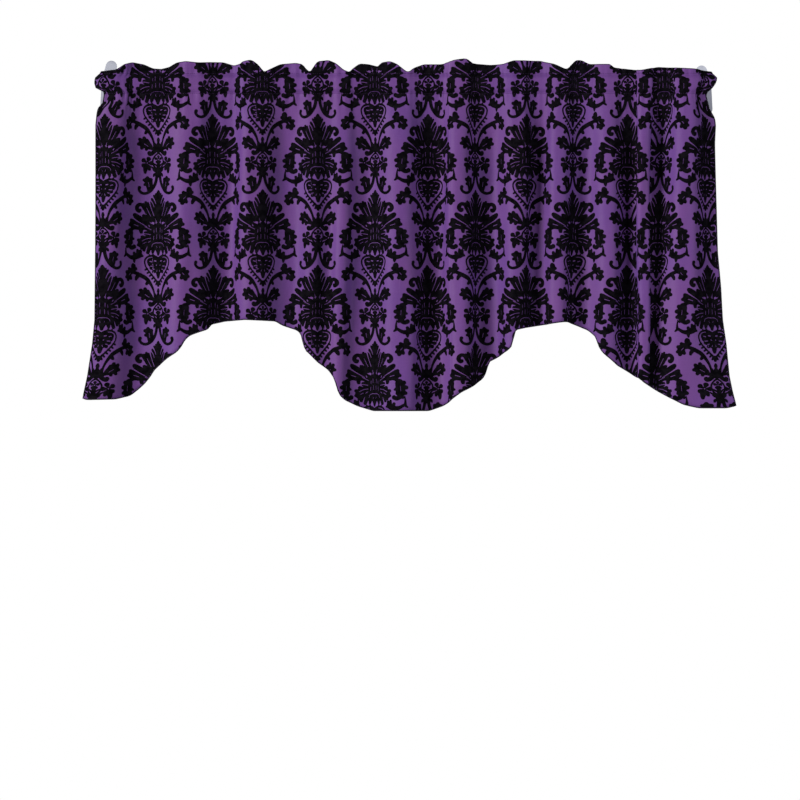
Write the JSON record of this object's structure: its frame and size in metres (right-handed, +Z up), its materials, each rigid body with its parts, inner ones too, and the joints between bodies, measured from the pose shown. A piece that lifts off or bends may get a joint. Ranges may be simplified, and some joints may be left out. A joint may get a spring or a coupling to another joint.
{
  "type": "window valance on curtain rod",
  "caption": "Scalloped rod-pocket window valance in flocked damask cloth, hanging in soft folds from a flat white rod on two leaf-shaped wall brackets.",
  "frame": {"origin": "on the wall, level with the rod's middle and half-way between the two brackets", "axes": "+X along the rod to the right as seen from the room, +Y into the wall, +Z up"},
  "size_m": [0.9466, 0.0725, 0.5106],
  "materials": {
    "violet_cloth": "violet taffeta with a black flocked damask pattern",
    "white_enamel": "semi-gloss white enamel on rolled steel",
    "white_bracket": "semi-gloss white enamel on pressed steel"
  },
  "bodies": {
    "root": {"valance_cloth": "violet_cloth", "curtain_rod": "white_enamel", "bracket_left": "white_bracket", "bracket_right": "white_bracket"}
  },
  "joints": []
}
